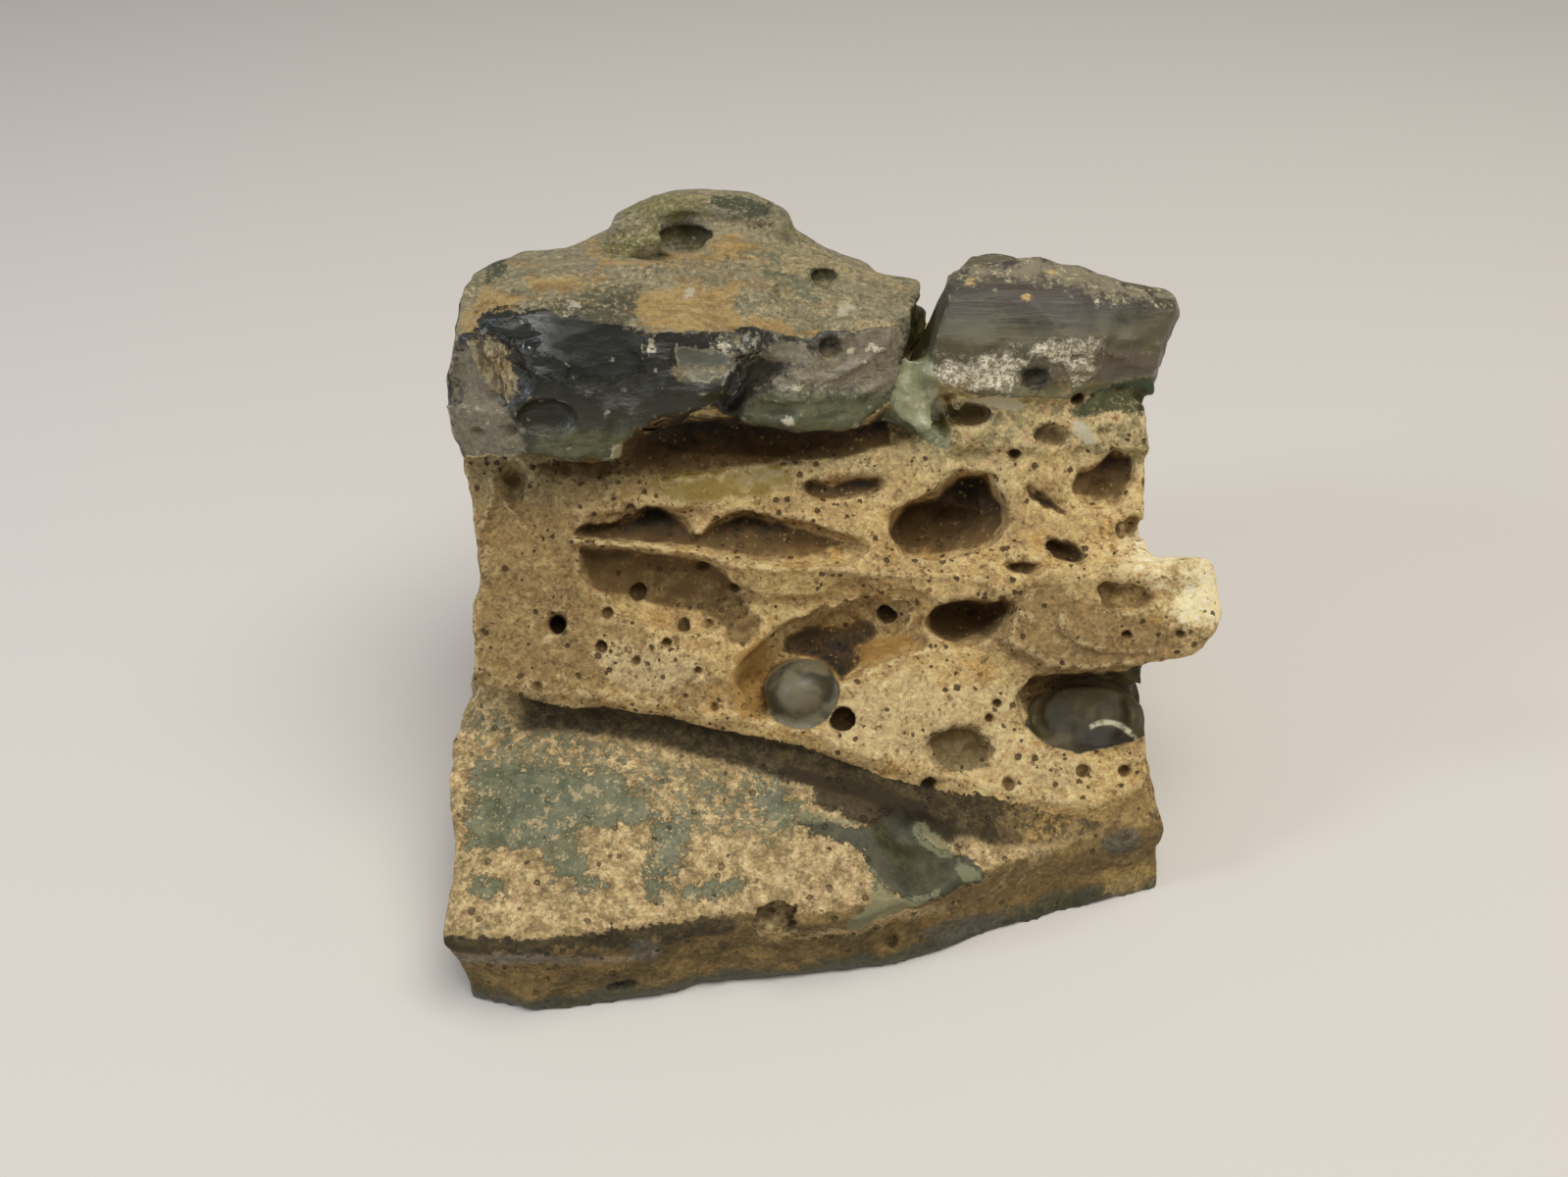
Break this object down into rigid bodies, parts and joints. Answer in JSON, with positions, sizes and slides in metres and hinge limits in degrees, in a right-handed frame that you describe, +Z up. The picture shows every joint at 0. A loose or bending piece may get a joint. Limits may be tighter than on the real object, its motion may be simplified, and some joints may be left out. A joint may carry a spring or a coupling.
{
  "type": "slag glass chunk",
  "caption": "Broken chunk of green slag glass: a dark glossy cap over a frothy tan body full of burst bubbles, on a crusted glass wedge.",
  "frame": {"origin": "middle of the bounding box's underside, on the flat base the chunk rests on", "axes": "+X to the right of the frothy face, the chunk's longest way, +Y to the back, +Z up"},
  "size_m": [0.1116, 0.094, 0.0893],
  "materials": {
    "slag_glass": "mixed: glossy broken glass, sandy froth and dull crust"
  },
  "bodies": {
    "root": {"slag_glass_chunk": "slag_glass"}
  },
  "joints": []
}
